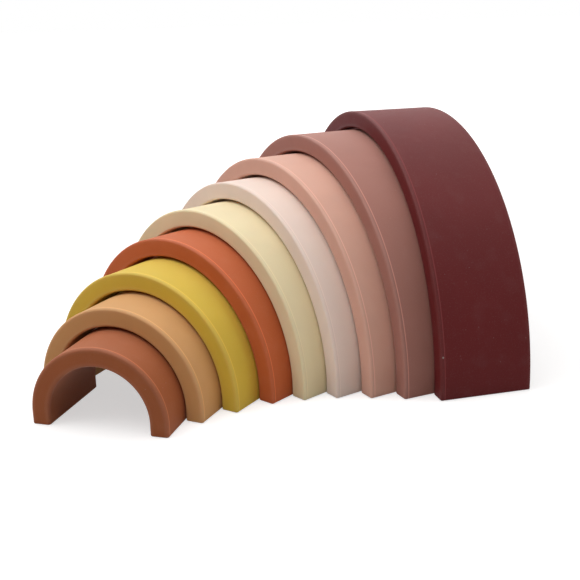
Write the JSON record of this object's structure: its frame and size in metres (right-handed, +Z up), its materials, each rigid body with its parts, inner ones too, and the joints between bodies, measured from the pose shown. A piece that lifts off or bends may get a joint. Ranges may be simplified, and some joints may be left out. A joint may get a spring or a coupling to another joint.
{
  "type": "rainbow stacker",
  "caption": "Set of soft moulded arches that nest inside each other, drawn out into a curved fan, each free to swing back into or clear of the next larger one.",
  "frame": {"origin": "middle of the bounding box of the fanned-out set, on the surface it stands on", "axes": "+Z up; the largest arch is square to the axes with its tunnel along Y, its front towards -Y and its width along X; the fan bends towards +X"},
  "size_m": [0.2702, 0.2596, 0.1366],
  "materials": {
    "brown_silicone": "matte",
    "tan_silicone": "matte",
    "mustard_silicone": "matte",
    "rust_silicone": "matte",
    "cream_silicone": "matte",
    "blush_silicone": "matte",
    "peach_silicone": "matte",
    "mauve_silicone": "matte",
    "burgundy_silicone": "matte"
  },
  "bodies": {
    "burgundy_arch": {"burgundy_arch": "burgundy_silicone"},
    "mauve_arch": {"mauve_arch": "mauve_silicone"},
    "peach_arch": {"peach_arch": "peach_silicone"},
    "blush_arch": {"blush_arch": "blush_silicone"},
    "cream_arch": {"cream_arch": "cream_silicone"},
    "rust_arch": {"rust_arch": "rust_silicone"},
    "mustard_arch": {"mustard_arch": "mustard_silicone"},
    "tan_arch": {"tan_arch": "tan_silicone"},
    "brown_arch": {"brown_arch": "brown_silicone"}
  },
  "joints": [
    {"name": "mauve_swing", "type": "hinge", "parent": "burgundy_arch", "child": "mauve_arch", "pos_m": [0.23033, 0.09633, 0], "axis": [0, 0, 1], "range_deg": [-9.35, 18]},
    {"name": "peach_swing", "type": "hinge", "parent": "mauve_arch", "child": "peach_arch", "pos_m": [0.2538, 0.10178, 0], "axis": [0, 0, 1], "range_deg": [-6.1, 14.9]},
    {"name": "blush_swing", "type": "hinge", "parent": "peach_arch", "child": "blush_arch", "pos_m": [0.30484, 0.11763, 0], "axis": [0, 0, 1], "range_deg": [-4.17, 10.6]},
    {"name": "cream_swing", "type": "hinge", "parent": "blush_arch", "child": "cream_arch", "pos_m": [0.20134, 0.07891, 0], "axis": [0, 0, 1], "range_deg": [-8.03, 18.6]},
    {"name": "rust_swing", "type": "hinge", "parent": "cream_arch", "child": "rust_arch", "pos_m": [0.19863, 0.07845, 0], "axis": [0, 0, 1], "range_deg": [-7.21, 17.5]},
    {"name": "mustard_swing", "type": "hinge", "parent": "rust_arch", "child": "mustard_arch", "pos_m": [0.19633, 0.07788, 0], "axis": [0, 0, 1], "range_deg": [-8.7, 14.3]},
    {"name": "tan_swing", "type": "hinge", "parent": "mustard_arch", "child": "tan_arch", "pos_m": [0.20154, 0.08424, 0], "axis": [0, 0, 1], "range_deg": [-7.3, 12.8]},
    {"name": "brown_swing", "type": "hinge", "parent": "tan_arch", "child": "brown_arch", "pos_m": [0.19383, 0.07583, 0], "axis": [0, 0, 1], "range_deg": [-8.06, 11.9]}
  ]
}
